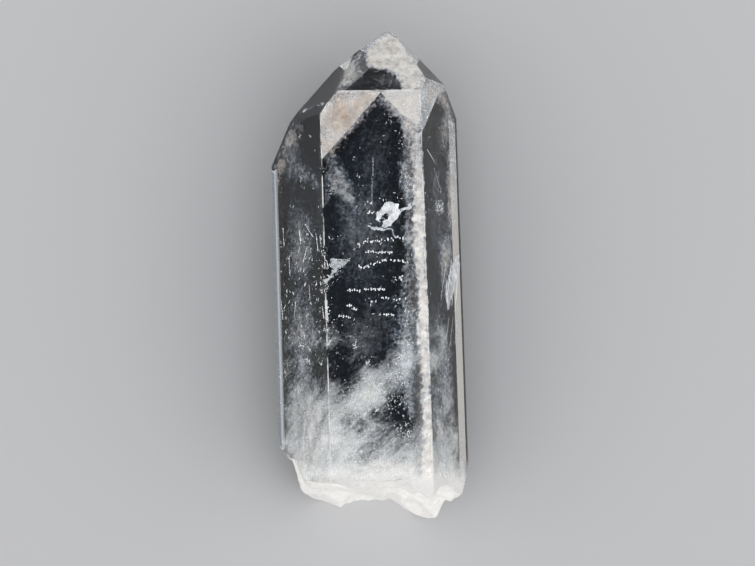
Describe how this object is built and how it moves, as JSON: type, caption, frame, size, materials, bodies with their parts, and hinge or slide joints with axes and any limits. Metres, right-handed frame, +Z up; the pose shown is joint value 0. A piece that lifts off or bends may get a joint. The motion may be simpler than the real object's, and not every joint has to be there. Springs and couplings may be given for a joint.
{
  "type": "quartz crystal",
  "caption": "Clear six-sided quartz crystal with a pointed tip and a broken base, lying on a prism face.",
  "frame": {"origin": "the middle of the crystal's length and width, on the surface that it lies on", "axes": "+Y along the c-axis to the tip, +Z up, out of the front prism face, +X to the right"},
  "size_m": [0.0208, 0.054, 0.0169],
  "materials": {
    "clear_quartz": "natural crystal faces, clear with milky veils and a rough broken base"
  },
  "bodies": {
    "root": {"quartz_crystal": "clear_quartz"}
  },
  "joints": []
}
